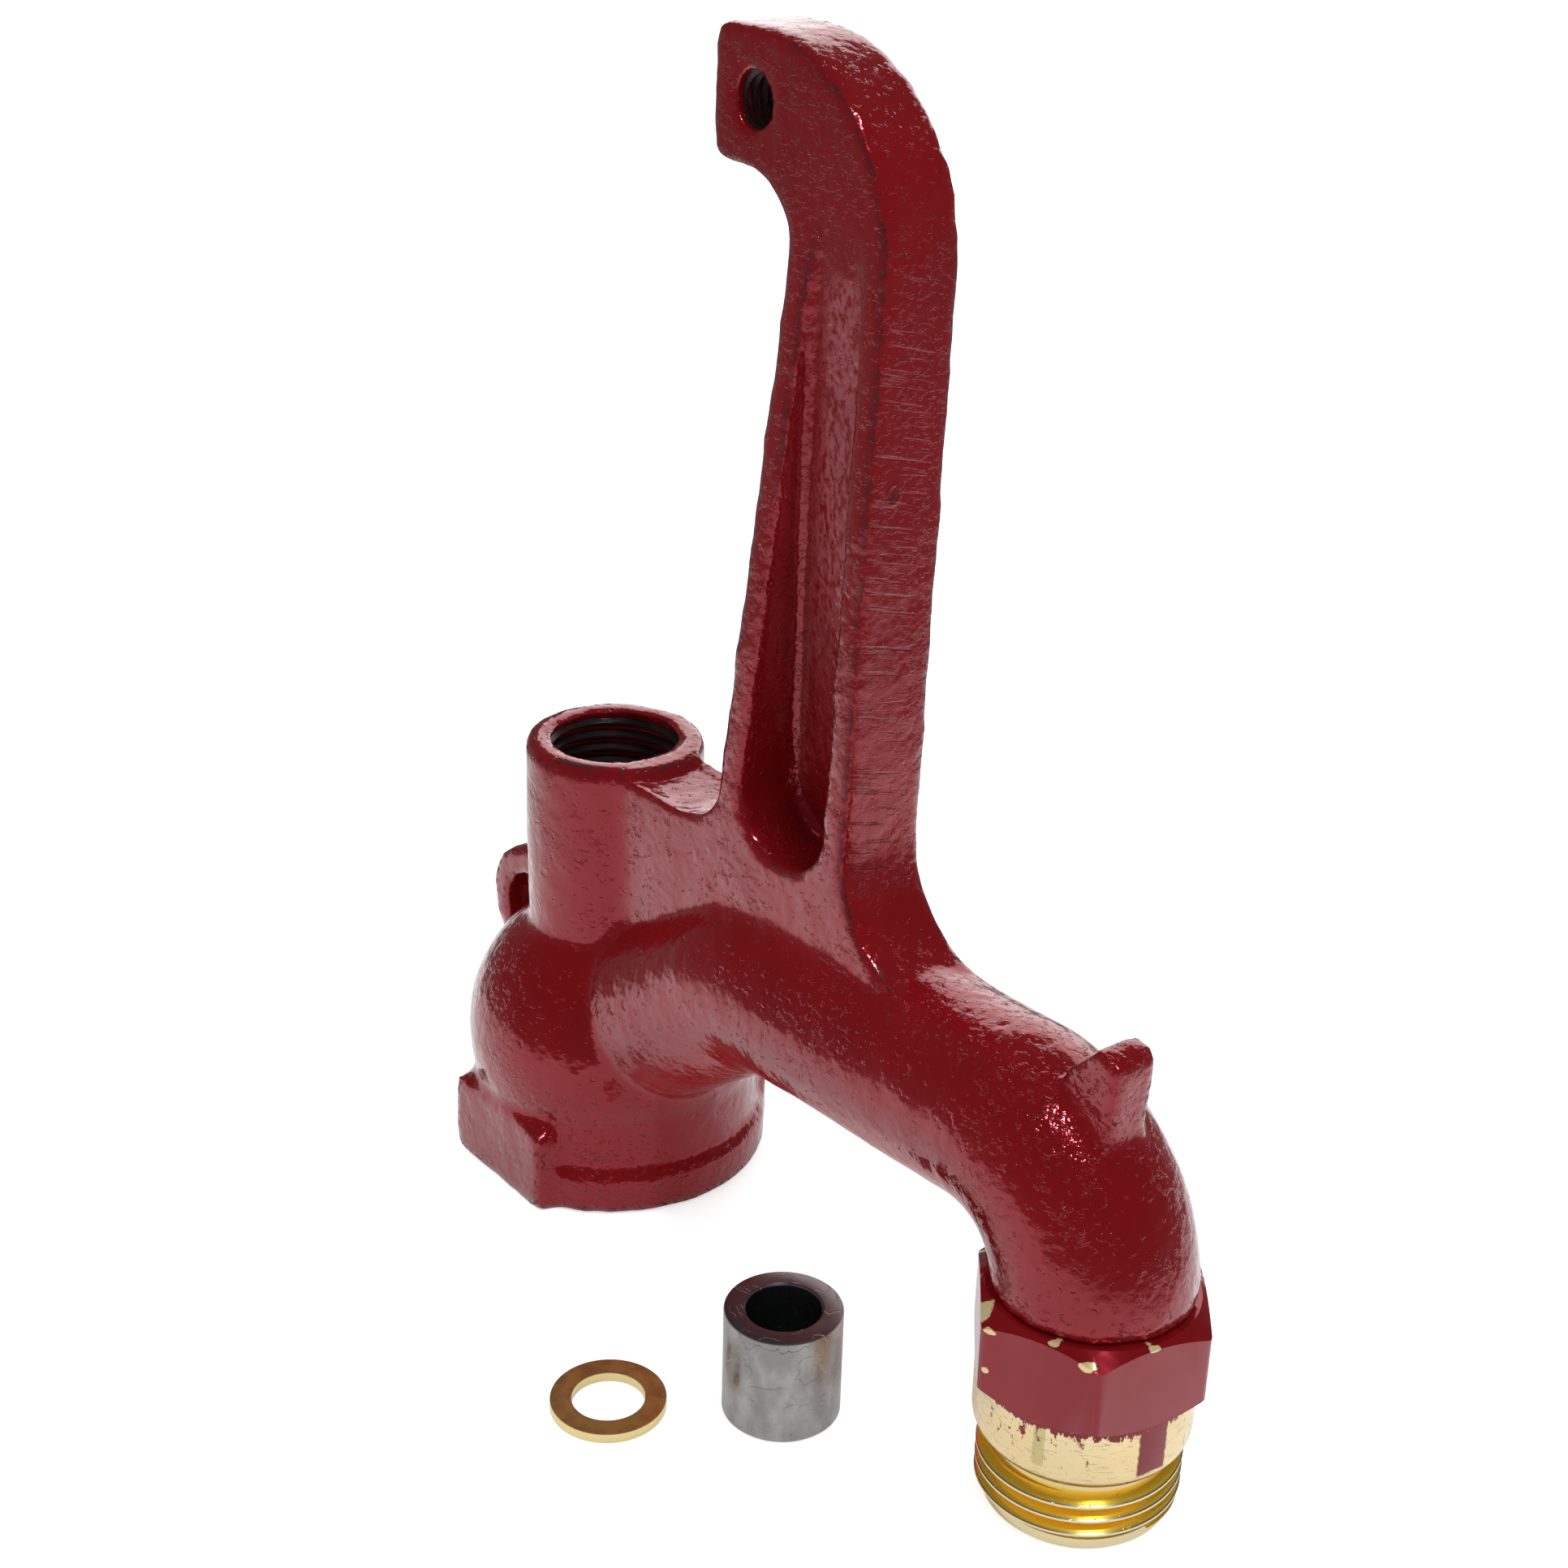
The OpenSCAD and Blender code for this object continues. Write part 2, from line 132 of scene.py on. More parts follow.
# %% Helpers for finishes


def fill(tree, item, sockets):
    """Sets or links a node's inputs, by their names or numbers."""
    for name, value in sockets.items():
        if isinstance(value, bpy.types.NodeSocket):
            tree.links.new(value, item.inputs[name])
        else:
            item.inputs[name].default_value = value


def add(tree, kind, sockets=None, out=0, **settings):
    """Adds a node and returns one of its outputs."""
    item = tree.nodes.new("ShaderNode" + kind)
    for name, value in settings.items():
        setattr(item, name, value)
    fill(tree, item, sockets or {})
    return item.outputs[out]


def maths(tree, operation, a, b=0.0, clamp=False):
    return add(tree, "Math", {0: a, 1: b}, operation=operation, use_clamp=clamp)


def plus(tree, a, b):
    return maths(tree, "ADD", a, b)


def minus(tree, a, b, clamp=False):
    return maths(tree, "SUBTRACT", a, b, clamp)


def times(tree, a, b):
    return maths(tree, "MULTIPLY", a, b)


def most(tree, values):
    """The largest of several masks."""
    top = values[0]
    for value in values[1:]:
        top = maths(tree, "MAXIMUM", top, value)
    return top


def length_of(tree, vector):
    return add(tree, "VectorMath", {0: vector}, out=1, operation="LENGTH")


def parts_of(tree, vector):
    """The three sockets of a vector's x, y and z."""
    item = tree.nodes.new("ShaderNodeSeparateXYZ")
    fill(tree, item, {0: vector})
    return list(item.outputs)


def from_axis(tree, place, x, y):
    """Distance from an upright axis, and height, in metres."""
    local = add(tree, "VectorMath", {0: place, 1: (x, y, 0)}, operation="SUBTRACT")
    east, north, height = parts_of(tree, local)
    return length_of(tree, add(tree, "CombineXYZ", {0: east, 1: north})), height


def measured(tree, name):
    """A vertex attribute, as written by keep_number."""
    return add(tree, "Attribute", out=2, attribute_name=name)


def ramp(tree, value, low, high, to_low=0.0, to_high=1.0):
    """Turns low..high into to_low..to_high, smoothly and clamped."""
    return add(tree, "MapRange", {"Value": value, "From Min": low, "From Max": high,
                                  "To Min": to_low, "To Max": to_high},
               interpolation_type="SMOOTHSTEP")


def speckle(tree, place, scale, detail=2.0, rough=0.5, stretch=None):
    """Noise with patches of about 1 / scale metres."""
    if stretch:
        place = add(tree, "Mapping", {"Vector": place, "Scale": stretch})
    return add(tree, "TexNoise", {"Vector": place, "Scale": scale, "Detail": detail,
                                  "Roughness": rough})


def creases(tree, value, width):
    """Thin lines where a noise passes its middle: 1 on the line, 0 beside it."""
    off = maths(tree, "ABSOLUTE", minus(tree, value, 0.5))
    return ramp(tree, off, 0.0, width, 1.0, 0.0)


def blob(tree, place, centre, size, ragged=0.5, grain=900, square=False):
    """1 inside a ragged blob, or block, about a point, given in mm with its
    half sizes."""
    scale = [1 / (v * MM) for v in size]
    start = [-c / v for c, v in zip(centre, size)]
    local = add(tree, "Mapping", {"Vector": place, "Location": start, "Scale": scale})
    if square:
        out = most(tree, parts_of(tree, add(tree, "VectorMath", {0: local}, operation="ABSOLUTE")))
    else:
        out = length_of(tree, local)
    wobble = times(tree, minus(tree, speckle(tree, place, grain), 0.5), 2 * ragged)
    return ramp(tree, plus(tree, out, wobble), 0.9, 1.05, 1.0, 0.0)


def blend_colour(tree, share, a, b):
    """Colour a where the share is 0, and colour b where it is 1."""
    return add(tree, "Mix", {0: share, 6: a, 7: b}, out=2, data_type="RGBA")


def start_finish(name):
    """A new material, its nodes, its shader, and the place on the object."""
    material = bpy.data.materials.new(name)
    material.use_nodes = True
    tree = material.node_tree
    shader = tree.nodes["Principled BSDF"]
    place = add(tree, "TexCoord", out=3)
    return material, tree, shader, place


# %% [markdown]
# ## The studio
# A wide white floor meets a white room, so nothing competes with the red. To
# the camera the floor is plain white, yet it still takes the soft shadow
# under the foot. Glossy paint shows whatever stands around it, so reflected
# rays see another room: a floor whose colour is a painted pool of light, bright
# only near the head, and walls that are dark, most of all overhead. Two soft
# boxes add the highlights.

# %% Build the floor
WHITE = (1, 1, 1, 1)
FLOOR_GREY = (0.80, 0.80, 0.80, 1)
ROOM_GREY = (0.86, 0.86, 0.86, 1)
UNDER_HEAD = (0.04, -0.01, 0)       # the middle of the bright patch that paint mirrors

bpy.context.scene.view_settings.view_transform = "Standard"
floor_mesh = bpy.data.meshes.new("floor")
bm = bmesh.new()
bmesh.ops.create_grid(bm, x_segments=1, y_segments=1, size=6)
bm.to_mesh(floor_mesh)
bm.free()
floor = put_in_scene("floor", floor_mesh)
floor_finish, tree, shader, place = start_finish("floor_white")
seen = add(tree, "LightPath", out=0)
glossy = add(tree, "LightPath", out=3)
through = add(tree, "LightPath", out=6)
away = add(tree, "VectorMath", {0: place, 1: UNDER_HEAD}, out=1, operation="DISTANCE")
# To glossy rays the floor's colour is a painted pool of light: white near the head, falling to dark
# grey from 13 to 30 cm away.
reflected = ramp(tree, away, 0.13, 0.30, 1.0, 0.16)
mirrored = most(tree, [glossy, through])
fill(tree, shader, {"Base Color": blend_colour(tree, mirrored, FLOOR_GREY, reflected),
                    "Roughness": 1.0, "Specular IOR Level": 0.0, "Emission Color": WHITE,
                    "Emission Strength": times(tree, seen, 0.6)})
floor_finish.cycles.emission_sampling = "NONE"
floor_mesh.materials.append(floor_finish)

# %% Light the room
world = bpy.data.worlds.new("room")
bpy.context.scene.world = world
world.use_nodes = True
world.cycles.sampling_method = "NONE"
tree = world.node_tree
background = tree.nodes["Background"]
direction = add(tree, "TexCoord", out=0)
height = add(tree, "SeparateXYZ", {0: direction}, out=2)
room = ramp(tree, height, 0.0, 0.5, 0.12, 0.06)
seen = add(tree, "LightPath", out=0)
glossy = add(tree, "LightPath", out=3)
level = blend_colour(tree, glossy, ROOM_GREY, room)
fill(tree, background, {"Color": blend_colour(tree, seen, level, WHITE), "Strength": 1.0})
print("floor and room are up")


def softbox(name, place, target, size, watts, tint=(1, 1, 1)):
    data = bpy.data.lights.new(name, "AREA")
    data.shape = "RECTANGLE"
    data.size, data.size_y = size
    data.energy = watts
    data.color = tint
    lamp = put_in_scene(name, data)
    aim = (Vector(target) - Vector(place)).to_track_quat("-Z", "Y")
    lamp.matrix_world = Matrix.Translation(place) @ aim.to_matrix().to_4x4()
    print(name, "at", place, watts, "W")


softbox("back_box", (-0.46, 0.66, 0.36), (0.03, 0, 0.06), (0.75, 0.75), 2.6)
softbox("top_box", (0.42, -0.11, 0.90), (0.08, 0, 0.05), (0.10, 0.10), 2.6, (0.72, 0.95, 1.0))

# %% [markdown]
# ## Helpers for pieces
# A piece is shaped in a bmesh, given smooth shading with sharp edges only
# where they are really sharp, and hung on its body, so that it moves with it.

# %% Helpers for pieces


def finished(mesh, name, finish, body="head", sharp=35):
    """Puts a mesh in the scene as a piece of the object."""
    piece = put_in_scene(name, mesh)
    mesh.materials.clear()
    mesh.materials.append(finish)
    mesh.shade_smooth()
    mesh.set_sharp_from_angle(angle=math.radians(sharp))
    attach(piece, body)
    print(name, len(mesh.polygons), "faces")
    return piece


def mesh_of(bm, name):
    bmesh.ops.remove_doubles(bm, verts=bm.verts, dist=1e-7)
    bmesh.ops.recalc_face_normals(bm, faces=bm.faces)
    mesh = bpy.data.meshes.new(name)
    bm.to_mesh(mesh)
    bm.free()
    return mesh


def bake_modifiers(mesh, setup):
    """Runs modifiers over a mesh and returns the new mesh."""
    worker = put_in_scene("worker", mesh)
    setup(worker)
    seen_now = bpy.context.evaluated_depsgraph_get()
    made = bpy.data.meshes.new_from_object(worker.evaluated_get(seen_now))
    bpy.data.objects.remove(worker)
    return made


def boolean(worker, operation, other):
    """Adds a modifier that cuts the worker with another object."""
    cut = worker.modifiers.new(operation.lower(), "BOOLEAN")
    cut.operation = operation
    cut.solver = "EXACT"
    cut.object = other


def turned(profile, name, steps=128):
    """A piece turned on a lathe: an (r, z) outline spun about the Z axis."""
    bm = bmesh.new()
    points = [bm.verts.new((r, 0, z)) for r, z in profile]
    for a, b in zip(points, points[1:] + points[:1]):
        bm.edges.new((a, b))
    bmesh.ops.spin(bm, geom=bm.verts[:] + bm.edges[:], cent=(0, 0, 0), axis=(0, 0, 1),
                   angle=2 * math.pi, steps=steps, use_merge=True, use_duplicate=False)
    return mesh_of(bm, name)


def thread_ridge(root, crest, pitch, length, name, steps=72, phase=0.0, bevel=1.0):
    """The ridge of a screw thread about the Z axis, from z = 0 to length.

    root and crest are radii: a crest outside the root makes a male thread,
    and a crest inside it a female one. It is swept past both ends and then
    cut to length by a turned blank with bevelled ends."""
    turns = length / pitch + 2
    deep = root - (crest - root) * 0.25
    outline = [(deep, 0.0), (root, pitch * 0.10), (crest, pitch * 0.43),
               (crest, pitch * 0.57), (root, pitch * 0.90), (deep, pitch)]
    bm = bmesh.new()
    points = [bm.verts.new((r, 0, z + (phase - 1.5) * pitch)) for r, z in outline]
    start = bm.faces.new(points)
    count = round(steps * turns)
    bmesh.ops.spin(bm, geom=[start], cent=(0, 0, 0), axis=(0, 0, 1),
                   dvec=(0, 0, turns * pitch / count), angle=2 * math.pi * turns,
                   steps=count, use_merge=False, use_duplicate=False)
    ridge = mesh_of(bm, name)
    high = crest + (crest - root) * 0.05
    slope = abs(crest - root) * bevel
    end_r = high + (root - crest) * bevel
    blank = put_in_scene("blank", turned(
        [(deep, 0), (end_r, 0), (high, slope), (high, length - slope), (end_r, length),
         (deep, length)], "blank"))
    ridge = bake_modifiers(ridge, lambda worker: boolean(worker, "INTERSECT", blank))
    bpy.data.objects.remove(blank)
    return ridge


# %% [markdown]
# ## Red paint over cast iron
# The head was cast in sand, ground where the mould halves met, and dipped in
# glossy red paint. So the paint follows a leathery skin: fine orange peel
# everywhere, and coarser sand marks in patches. The paint is thin and dark
# along sharp edges, and the blowhole's pit is painted dark as shade. The
# undersides get a painted reflection of the red head, a deeper and brighter
# red. The floor of the arm's pocket gets a painted reflection in lighter pink,
# broken by a sandy grain. Vertex attributes say where each of these is, and
# they are measured from the mesh further down:
#
# - edge: how sharp the iron is, with painted shade in the blowhole, and rim:
#   the turned edges of the arm
# - under: the undersides, and haze: the floor of the pocket; both get a
#   painted reflection
# - ground: the ground back of the arm, sandy: coarse skin, and pool: hollows
#   where the paint lies smooth

# %% Mix the red paint
RED = (0.185, 0.0042, 0.0062, 1)
RED_DEEP = (0.150, 0.0034, 0.0050, 1)
RED_THIN = (0.050, 0.0110, 0.0110, 1)
# painted reflection of the red head, on the undersides
RED_UNDERSIDE_REFLECTION = (0.32, 0.0040, 0.0045, 1)
# painted reflection on the floor of the arm's pocket
RED_POCKET_REFLECTION = (0.30, 0.070, 0.080, 1)
CHIP = (0.80, 0.62, 0.33, 1)
COAT = 0.55                             # the gloss on sound paint
RIM_LINE = (-6.25 * MM, -6.08 * MM)     # y where the arm's bare line ends


def worn_paint_and_pit_shade(tree, place):
    """1 where the paint is worn thin: on sharp edges and on the arm's rim; also in the blowhole's
    pit, which is painted dark as shade.
    """
    torn = ramp(tree, speckle(tree, place, 900, 3.0), 0.36, 0.60, 0.0, 0.4)
    worn = ramp(tree, plus(tree, measured(tree, "edge"), torn), 0.92, 1.10)
    depth = add(tree, "SeparateXYZ", {0: place}, out=1)
    ragged = ramp(tree, speckle(tree, place, 700, 4.0, 0.7), 0.35, 0.65, 0.0, 0.6 * MM)
    line = ramp(tree, plus(tree, depth, ragged), *RIM_LINE, 1.0, 0.0)
    return most(tree, [worn, times(tree, line, measured(tree, "rim"))])


def red_paint(name, skin, bare=None):
    """skin(tree, place) gives the height in mm, and bare(tree, place) a mask
    that is 1 where the paint has gone and brass shows."""
    material, tree, shader, place = start_finish(name)
    worn = worn_paint_and_pit_shade(tree, place)
    under = measured(tree, "under")
    cloud = ramp(tree, speckle(tree, place, 45, 3.0), 0.3, 0.7)
    tone = blend_colour(tree, cloud, RED_DEEP, RED)
    # Thin, dark red where the paint is worn, and painted shade in the blowhole.
    tone = blend_colour(tree, worn, tone, RED_THIN)
    # Painted reflection: the undersides are given a deeper, brighter red.
    tone = blend_colour(tree, under, tone, RED_UNDERSIDE_REFLECTION)
    coat = ramp(tree, most(tree, [under, worn]), 0, 1, COAT, 0.2)
    # Painted reflection: the pocket's floor is given a lighter pink, broken up by a sandy grain.
    reflection_grain = ramp(tree, speckle(tree, place, 1100, 3.0, 0.6, (1.0, 1.0, 0.6)), 0.36, 0.58)
    tone = blend_colour(tree, times(tree, measured(tree, "pocket_reflection"), reflection_grain), tone, RED_POCKET_REFLECTION)
    height = skin(tree, place)
    if bare:
        chip = bare(tree, place)
        tone = blend_colour(tree, chip, tone, CHIP)
        height = minus(tree, height, times(tree, chip, 0.12))
        coat = ramp(tree, chip, 0, 1, COAT, 0)
        fill(tree, shader, {"Metallic": times(tree, chip, 0.4)})
    bump = add(tree, "Bump", {"Height": height, "Strength": 1.0, "Distance": MM})
    fill(tree, shader, {"Base Color": tone, "Roughness": ramp(tree, worn, 0, 1, 0.16, 0.5),
                        "IOR": 1.6, "Specular IOR Level": 1.0,
                        "Specular Tint": (1.0, 0.07, 0.11, 1), "Coat Weight": coat,
                        "Coat Roughness": 0.04, "Coat IOR": 1.5,
                        "Normal": bump, "Coat Normal": bump})
    return material


# %% [markdown]
# ## The skin of the casting
# Each layer is a height in mm. Peel, pits, flecks and sand are calmed where
# the paint lies in a pool and where the iron was ground. The grinder's cuts
# run level across the back of the arm, which also has one blowhole, and the
# spout's elbow keeps a rough spot.

# %% Write the skin of the casting
BLOWHOLE = (64.2, -2.8, 125.7)      # mm, in the ground back of the arm
ROUGH_SPOT = (104.6, -5.2, 56.6)    # mm, on the spout's elbow


def sand_marks(tree, place, patch):
    """Peel, pits, flecks and sand; patch is 1 where the sand was coarse."""
    grain = speckle(tree, place, 1150, 3.0, 0.6, (0.7, 0.7, 1.2))
    low = ramp(tree, patch, 0, 1, 0.65, 0.545)
    flecks = times(tree, ramp(tree, grain, low, plus(tree, low, 0.07)), 0.075)
    peel = times(tree, speckle(tree, place, 1100, 1.0), 0.035)
    pits = ramp(tree, speckle(tree, place, 620, 2.0), 0.28, 0.36, -0.07, 0.0)
    coarse = ramp(tree, patch, 0, 1, 0.04, 0.16)
    sand = times(tree, speckle(tree, place, 420, 3.0, 0.6), coarse)
    return plus(tree, plus(tree, peel, plus(tree, pits, flecks)), sand)


def grinder_cuts(tree, place):
    """Level scratches, broken up along their length."""
    level = add(tree, "VectorMath", {0: place, 1: (0, 0.26, 1)}, out=1, operation="DOT_PRODUCT")
    across = add(tree, "SeparateXYZ", {0: place}, out=1)
    along = add(tree, "CombineXYZ", {0: times(tree, across, 0.06), 2: level})
    strokes = speckle(tree, along, 800, 4.0, 0.7)
    broken = ramp(tree, speckle(tree, place, 90, 3.0, 0.5, (1.0, 1.0, 3.0)), 0.38, 0.56, 0.25, 1.0)
    return times(tree, ramp(tree, strokes, 0.36, 0.47, -0.17, 0.0), broken)


def cast_skin(tree, place):
    """The height of the casting's skin, in mm."""
    ground = measured(tree, "ground")
    patch = ramp(tree, speckle(tree, place, 60, 3.0), 0.42, 0.62, 0.0, 0.75)
    patch = most(tree, [patch, measured(tree, "sandy")])
    calm = most(tree, [times(tree, measured(tree, "pool"), 0.9), times(tree, ground, 0.7)])
    cast = times(tree, sand_marks(tree, place, patch), minus(tree, 1.0, calm))
    cast = plus(tree, cast, times(tree, grinder_cuts(tree, place), ground))
    wide = plus(tree, times(tree, speckle(tree, place, 170, 2.0), 0.17),
                times(tree, speckle(tree, place, 420, 1.0), 0.12))
    hole = blob(tree, place, BLOWHOLE, (3, 0.75, 1.1), 0.15)
    lip = blob(tree, place, BLOWHOLE, (3, 1.3, 1.6), 0.15)
    crater = plus(tree, times(tree, hole, -0.5), times(tree, lip, 0.12))
    spot = blob(tree, place, ROUGH_SPOT, (4.6, 3.6, 3.6), 0.7, 500)
    rough = times(tree, spot, times(tree, speckle(tree, place, 800, 2.0), 0.30))
    return plus(tree, plus(tree, cast, wide), plus(tree, crater, rough))


head_red = red_paint("red_paint_on_iron", cast_skin)
print("made", head_red.name)

# %% [markdown]
# ## The casting
# The solids give the casting's exact form, but with sharp corners wherever
# two of them meet. Iron poured into sand has none. A bevel fails where many
# curved faces meet, so a copy of the solid is merged and remeshed into small
# even squares instead, which can then be smoothed, measured and roughened
# vertex by vertex. The helpers below read those measures off the mesh.

# %% Helpers that measure a mesh


def numbers_of(mesh):
    """A mesh's vertex places, normals and edges as arrays."""
    places = np.empty(len(mesh.vertices) * 3)
    mesh.vertices.foreach_get("co", places)
    normals = np.empty(len(mesh.vertices) * 3)
    mesh.vertices.foreach_get("normal", normals)
    ends = np.empty(len(mesh.edges) * 2, np.int64)
    mesh.edges.foreach_get("vertices", ends)
    return places.reshape(-1, 3), normals.reshape(-1, 3), ends.reshape(-1, 2)


def neighbour_mean(values, ends):
    """Each vertex's average of a value over its neighbours."""
    one, two = ends.T
    count = len(values)
    near = np.bincount(one, minlength=count) + np.bincount(two, minlength=count)
    total = np.bincount(one, values[two], count) + np.bincount(two, values[one], count)
    return total / np.maximum(near, 1)


def bulge_of(mesh):
    """How far each vertex stands proud of its neighbours, in edge lengths."""
    places, normals, ends = numbers_of(mesh)
    around = np.stack([neighbour_mean(places[:, i], ends) for i in range(3)], 1)
    step = np.linalg.norm(places[ends[:, 0]] - places[ends[:, 1]], axis=1).mean()
    return ((places - around) * normals).sum(1) / step


def spread(values, ends, rounds):
    """Lets the high values grow outwards."""
    for _ in range(rounds):
        values = np.maximum(values, neighbour_mean(values, ends))
    return values


def blurred(values, ends, rounds):
    for _ in range(rounds):
        values = neighbour_mean(values, ends)
    return values


def rise(values, start, width):
    """0 up to start, and from there up to 1 over the width."""
    return np.clip((values - start) / width, 0, 1)


def fall(values, end, width):
    """Down from 1 over the width, and 0 from end on."""
    return np.clip((end - values) / width, 0, 1)


FAR = 1000      # mm, well past the ends of the casting


def in_box(places, x=(-FAR, FAR), y=(-FAR, FAR), z=(-FAR, FAR)):
    """Which vertices lie inside a box that is given in mm."""
    inside = np.ones(len(places), bool)
    for values, (low, high) in zip(places.T / MM, (x, y, z)):
        inside &= (values > low) & (values < high)
    return inside


def move_to(mesh, places):
    mesh.vertices.foreach_set("co", places.ravel())
    mesh.update()


def keep_number(mesh, name, values):
    """Writes a vertex attribute, for the finish to read."""
    attribute = mesh.attributes.new(name, "FLOAT", "POINT")
    attribute.data.foreach_set("value", np.clip(values, 0, 1).astype(np.float32))


# %% Merge the casting and bore its holes
BOX_THREAD = (9.6 * MM, 2.2 * MM, 1.1 * MM)         # length, pitch and depth
PIVOT_THREAD = (11.0 * MM, 1.41 * MM, 0.75 * MM)
THREAD_LIP = 0.9 * MM       # how far in from the mouth a thread starts
ARM_FACE_Y = -6.8 * MM      # the near face of the arm


def drill(centre, radius, length, axis, name):
    """A plain cylinder to cut with, its middle at centre."""
    bm = bmesh.new()
    bmesh.ops.create_cone(bm, cap_ends=True, segments=96, radius1=radius, radius2=radius,
                          depth=length)
    turn = Vector((0, 0, 1)).rotation_difference(Vector(axis)).to_matrix()
    bmesh.ops.rotate(bm, matrix=turn, verts=bm.verts, cent=(0, 0, 0))
    bmesh.ops.translate(bm, vec=centre, verts=bm.verts)
    return put_in_scene(name, mesh_of(bm, name))


bm = bmesh.new()
bm.from_mesh(frame["nodes"]["head_casting"].data)
bmesh.ops.remove_doubles(bm, verts=bm.verts, dist=1e-6)
casting = bpy.data.meshes.new("casting")
bm.to_mesh(casting)
bm.free()

box_length, box_pitch, box_depth = BOX_THREAD
box_span = box_length - THREAD_LIP
box_cut = drill((0, 0, box_mouth.z - THREAD_LIP - box_span / 2), box_r + box_depth,
                box_span, (0, 0, 1), "box_cut")
pivot_length, pivot_pitch, pivot_depth = PIVOT_THREAD
pivot_middle = (pivot_mouth.x, ARM_FACE_Y + THREAD_LIP + pivot_length / 2, pivot_mouth.z)
pivot_cut = drill(pivot_middle, pivot_r + pivot_depth, pivot_length, (0, 1, 0), "pivot_cut")


def cut_bores(worker):
    for cutter in (box_cut, pivot_cut):
        boolean(worker, "DIFFERENCE", cutter)


casting = bake_modifiers(casting, cut_bores)
for cutter in (box_cut, pivot_cut):
    bpy.data.objects.remove(cutter)
print("bored:", len(casting.polygons), "faces")

# %% Remesh the casting
# The grid of squares lies askew, so that no flat face falls in line with it.
VOXEL = 0.79 * MM
slanted = Matrix.Rotation(0.66, 4, Vector((1.0, 0.62, 0.41)))


def remesh(worker):
    cast = worker.modifiers.new("cast", "REMESH")
    cast.mode = "VOXEL"
    cast.voxel_size = VOXEL


casting.transform(slanted)
casting = bake_modifiers(casting, remesh)
casting.transform(slanted.inverted())
print("remeshed:", len(casting.polygons), "faces")

# %% [markdown]
# ## Rounded edges and filled hollows
# Molten iron doesn't fill a sharp corner of the mould, and the pattern has
# fillets in its hollows. Three rounds of smoothing take the steps out of the
# squares. The sharp ridges are then evened out only along their own length,
# so that they run true but stay crisp. Last, the hollows alone are smoothed
# many times over, by a vertex group, which grows the fillets.

# %% Round the edges and run the ridges true


def smooth(worker, factor, rounds, group=""):
    step = worker.modifiers.new("smooth", "SMOOTH")
    step.factor = factor
    step.iterations = rounds
    step.vertex_group = group


casting = bake_modifiers(casting, lambda worker: smooth(worker, 0.5, 3))
places, normals, ends = numbers_of(casting)
ridge = rise(bulge_of(casting), 0.03, 0.06) ** 2
near = np.maximum(neighbour_mean(ridge, ends), 1e-6)
for _ in range(6):
    for axis in range(3):
        along = neighbour_mean(ridge * places[:, axis], ends) / near
        places[:, axis] += ridge * 0.6 * (along - places[:, axis])
move_to(casting, places)
print("ridge vertices:", int((ridge > 0.5).sum()))

# %% Fill the hollows with fillets
# The stuffing box and the arm's pocket keep their sharp corners, and the
# groove over the foot keeps most of its depth.
hollow = spread(rise(-bulge_of(casting), 0.035, 0.06), ends, 2)
for _ in range(3):
    hollow = (hollow + neighbour_mean(hollow, ends)) / 2
radius = np.hypot(places[:, 0], places[:, 1])
hollow[(radius < 12.4 * MM) & in_box(places, z=(40, FAR))] = 0
hollow[in_box(places, x=(0, FAR), z=(-FAR, 9))] *= 0.25
hollow[in_box(places, x=(40, FAR), y=(-6, 6), z=(68, FAR))] = 0


def soften(worker):
    group = worker.vertex_groups.new(name="hollow")
    for index, weight in enumerate(hollow):
        if weight > 0.01:
            group.add([index], float(weight), "REPLACE")
    smooth(worker, 0.5, 30, "hollow")


casting = bake_modifiers(casting, soften)
print("hollow vertices:", int((hollow > 0.1).sum()))

# %% [markdown]
# ## What the mould left behind
# No cast face is flat or even. The floor of the arm's pocket leans, a
# shallow hollow lies in the gusset's top beside the stuffing box, and all of
# the skin swells and sinks by a tenth of a millimetre or so. These are moved
# in the mesh, because light shows them from far off; grain too fine for the
# mesh is left to the finish. The swelling may not grow the casting's box, so
# the places are clipped to it.

# %% Lean the pocket's floor
# The floor rises toward the right wall of the arm's pocket. It leans most
# half way up the pocket, and not at all at the pocket's two ends.
FLOOR_Y, FLOOR_SLOPE = 0.55, -0.1225    # the solid's floor: y in mm, and its change per mm up
WALL_X, WALL_SLOPE = 42.5, 0.163        # and its left wall in the same way
LEAN = 0.22                             # mm of rise per mm across

places, normals, ends = numbers_of(casting)
x, y, z = places.T / MM
pocket_floor = FLOOR_Y + FLOOR_SLOPE * (z - 98)
from_wall = x - WALL_X - WALL_SLOPE * (z - 98.5)
fade = fall(z, 138, 20) * rise(z, 80, 24)
leaning = pocket_floor - LEAN * fade * np.clip(from_wall - 1.0, 0, 14)
below = (y > leaning) & (y < pocket_floor + 0.6) & (from_wall > 0.3) & (x < 60.5) & (fade > 0)
places[:, 1] = np.where(below, leaning, y) * MM
print("pocket floor:", int(below.sum()), "vertices")

# %% Roughen the casting as sand would
SLOW = (70, 0.16)       # lumps: their frequency, and their height in mm
QUICK = (260, 0.07)
uneven = np.empty(len(places))
for index, (px, py, pz) in enumerate(places):
    slow = noise.noise(Vector((px, py, pz)) * SLOW[0])
    quick = noise.noise(Vector((px + 1, py, pz)) * QUICK[0])
    uneven[index] = slow * SLOW[1] + quick * QUICK[1]
low, high = places.min(axis=0), places.max(axis=0)
places = np.clip(places + normals * (uneven * MM)[:, None], low, high)
move_to(casting, places)
print("roughened by up to", round(float(np.abs(uneven).max()), 2), "mm")

# %% Sharpen the pocket's corners and dip the gusset's top
CORNER_DEPTH = 0.25 * MM
DIP_DEPTH = 1.7 * MM
BOSS_R = 13.5       # mm, the outside of the stuffing box

